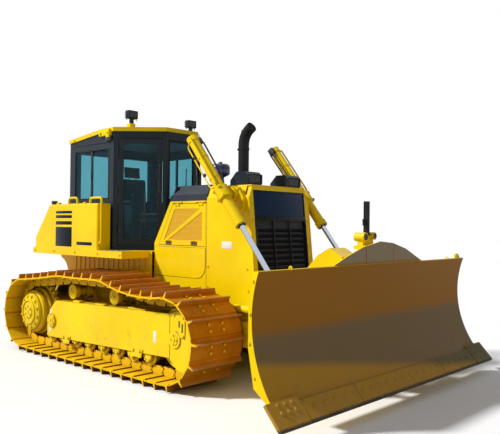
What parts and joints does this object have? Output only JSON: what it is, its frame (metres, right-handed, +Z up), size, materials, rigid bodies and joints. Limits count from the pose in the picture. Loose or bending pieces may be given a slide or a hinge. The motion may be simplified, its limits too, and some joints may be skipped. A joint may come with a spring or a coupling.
{
  "type": "crawler bulldozer",
  "caption": "Crawler bulldozer with a six-way blade on an inside-mounted C-frame, hexagonal cab, lifting side doors and lattice-shoed tracks.",
  "frame": {"origin": "ground level under the middle of the machine", "axes": "+X forward, towards the blade; +Y to the left; +Z up"},
  "size_m": [6.026, 4.05, 3.3807],
  "materials": {
    "yellow_paint": "gloss yellow paint, lightly dusty",
    "blade_paint": "satin yellow paint",
    "charcoal_paint": "satin dark paint",
    "tinted_glass": "clear tinted",
    "clear_glass": "clear",
    "chrome_rod": "ground and polished",
    "seat_fabric": "woven",
    "dark_plastic": "grained",
    "engine_iron": "cast",
    "edge_steel": "painted, worn at the edge",
    "bare_steel": "dull"
  },
  "bodies": {
    "machine": {"air_precleaner": "charcoal_paint", "cab_consoles": "dark_plastic", "cab_frame": "charcoal_paint", "cab_glass": "tinted_glass", "cab_roof": "yellow_paint", "carrier_rollers": "yellow_paint", "dashboard": "dark_plastic", "drawbar": "yellow_paint", "engine": "engine_iron", "exhaust_pipe": "charcoal_paint", "final_drives": "yellow_paint", "front_mask": "charcoal_paint", "fuel_tank": "yellow_paint", "grille": "charcoal_paint", "handrails": "charcoal_paint", "hood": "charcoal_paint", "idlers": "yellow_paint", "lamp_lenses": "clear_glass", "main_frame": "yellow_paint", "platform": "yellow_paint", "radiator_guard": "yellow_paint", "seat": "seat_fabric", "side_covers": "yellow_paint", "side_tanks": "yellow_paint", "sprockets": "yellow_paint", "track_frame_left": "yellow_paint", "track_frame_right": "yellow_paint", "track_left": "yellow_paint", "track_right": "yellow_paint", "track_rollers": "yellow_paint", "work_lamps": "charcoal_paint"},
    "hood_door_left": {"hood_door_left": "yellow_paint"},
    "hood_door_right": {"hood_door_right": "yellow_paint"},
    "cab_door_left": {"cab_door_left": "charcoal_paint", "door_glass_left": "tinted_glass"},
    "cab_door_right": {"cab_door_right": "charcoal_paint", "door_glass_right": "tinted_glass"},
    "c_frame": {"c_frame": "yellow_paint"},
    "blade_yoke": {"blade_yoke": "yellow_paint"},
    "blade": {"blade": "blade_paint", "cutting_edge": "edge_steel", "mast": "bare_steel", "mast_clamp": "yellow_paint"},
    "lift_barrel_left": {"lift_barrel_left": "yellow_paint"},
    "lift_rod_left": {"lift_rod_left": "chrome_rod"},
    "angle_barrel_left": {"angle_barrel_left": "yellow_paint"},
    "angle_rod_left": {"angle_rod_left": "chrome_rod"},
    "lift_barrel_right": {"lift_barrel_right": "yellow_paint"},
    "lift_rod_right": {"lift_rod_right": "chrome_rod"},
    "angle_barrel_right": {"angle_barrel_right": "yellow_paint"},
    "angle_rod_right": {"angle_rod_right": "chrome_rod"},
    "tilt_barrel": {"tilt_barrel": "yellow_paint"},
    "tilt_rod": {"tilt_rod": "chrome_rod"}
  },
  "joints": [
    {"name": "hood_door_left_hinge", "type": "hinge", "parent": "machine", "child": "hood_door_left", "pos_m": [0.2085, 0.559, 2.084], "axis": [1, 0, 0], "range_deg": [0, 90]},
    {"name": "hood_door_right_hinge", "type": "hinge", "parent": "machine", "child": "hood_door_right", "pos_m": [0.2085, -0.559, 2.084], "axis": [-1, 0, 0], "range_deg": [0, 90]},
    {"name": "cab_door_left_hinge", "type": "hinge", "parent": "machine", "child": "cab_door_left", "pos_m": [-1.0187, 0.7673, 2.25], "axis": [0, 0, 1], "range_deg": [0, 100]},
    {"name": "cab_door_right_hinge", "type": "hinge", "parent": "machine", "child": "cab_door_right", "pos_m": [-1.0187, -0.7673, 2.25], "axis": [0, 0, -1], "range_deg": [0, 100]},
    {"name": "blade_lift", "type": "hinge", "parent": "machine", "child": "c_frame", "pos_m": [-0.3715, 0, 0.56], "axis": [0, -1, 0], "range_deg": [-11, 16]},
    {"name": "blade_angle", "type": "hinge", "parent": "c_frame", "child": "blade_yoke", "pos_m": [2.1785, 0, 0.615], "axis": [0, 0, 1], "range_deg": [-25, 25]},
    {"name": "blade_tilt", "type": "hinge", "parent": "blade_yoke", "child": "blade", "pos_m": [2.4885, 0, 0.7], "axis": [1, 0, 0], "range_deg": [-6.5, 6.5]},
    {"name": "lift_barrel_left_pivot", "type": "hinge", "parent": "machine", "child": "lift_barrel_left", "pos_m": [1.0285, 0.642, 2.164], "axis": [0, -1, 0], "range_deg": [-9, 13]},
    {"name": "lift_rod_left_stroke", "type": "slide", "parent": "lift_barrel_left", "child": "lift_rod_left", "axis": [0.6295, 0, -0.777], "range_m": [-0.59, 0.406]},
    {"name": "angle_barrel_left_pivot", "type": "hinge", "parent": "c_frame", "child": "angle_barrel_left", "pos_m": [0.9285, 0.64, 0.85], "axis": [0, 0, 1], "range_deg": [-1.6, 1.6]},
    {"name": "angle_rod_left_stroke", "type": "slide", "parent": "angle_barrel_left", "child": "angle_rod_left", "axis": [0.9996, -0.0296, 0], "range_m": [-0.26, 0.26]},
    {"name": "lift_barrel_right_pivot", "type": "hinge", "parent": "machine", "child": "lift_barrel_right", "pos_m": [1.0285, -0.642, 2.164], "axis": [0, -1, 0], "range_deg": [-9, 13]},
    {"name": "lift_rod_right_stroke", "type": "slide", "parent": "lift_barrel_right", "child": "lift_rod_right", "axis": [0.6295, 0, -0.777], "range_m": [-0.59, 0.406]},
    {"name": "angle_barrel_right_pivot", "type": "hinge", "parent": "c_frame", "child": "angle_barrel_right", "pos_m": [0.9285, -0.64, 0.85], "axis": [0, 0, 1], "range_deg": [-1.6, 1.6]},
    {"name": "angle_rod_right_stroke", "type": "slide", "parent": "angle_barrel_right", "child": "angle_rod_right", "axis": [0.9996, 0.0296, 0], "range_m": [-0.26, 0.26]},
    {"name": "tilt_barrel_pivot", "type": "hinge", "parent": "blade_yoke", "child": "tilt_barrel", "pos_m": [2.3185, 0.24, 1.12], "axis": [1, 0, 0], "range_deg": [-4.5, 4.5]},
    {"name": "tilt_rod_stroke", "type": "slide", "parent": "tilt_barrel", "child": "tilt_rod", "axis": [0, -1, 0], "range_m": [-0.05, 0.05]}
  ],
  "couplings": [
    {"joint": "lift_barrel_left_pivot", "follows": "blade_lift", "ratio": 0.805},
    {"joint": "lift_rod_left_stroke", "follows": "blade_lift", "m_per_rad": -2.11},
    {"joint": "angle_barrel_left_pivot", "follows": "blade_angle", "ratio": 0.06},
    {"joint": "angle_rod_left_stroke", "follows": "blade_angle", "m_per_rad": -0.594},
    {"joint": "lift_barrel_right_pivot", "follows": "blade_lift", "ratio": 0.805},
    {"joint": "lift_rod_right_stroke", "follows": "blade_lift", "m_per_rad": -2.11},
    {"joint": "angle_barrel_right_pivot", "follows": "blade_angle", "ratio": 0.06},
    {"joint": "angle_rod_right_stroke", "follows": "blade_angle", "m_per_rad": 0.594},
    {"joint": "tilt_barrel_pivot", "follows": "blade_tilt", "ratio": 0.68},
    {"joint": "tilt_rod_stroke", "follows": "blade_tilt", "m_per_rad": 0.422}
  ]
}
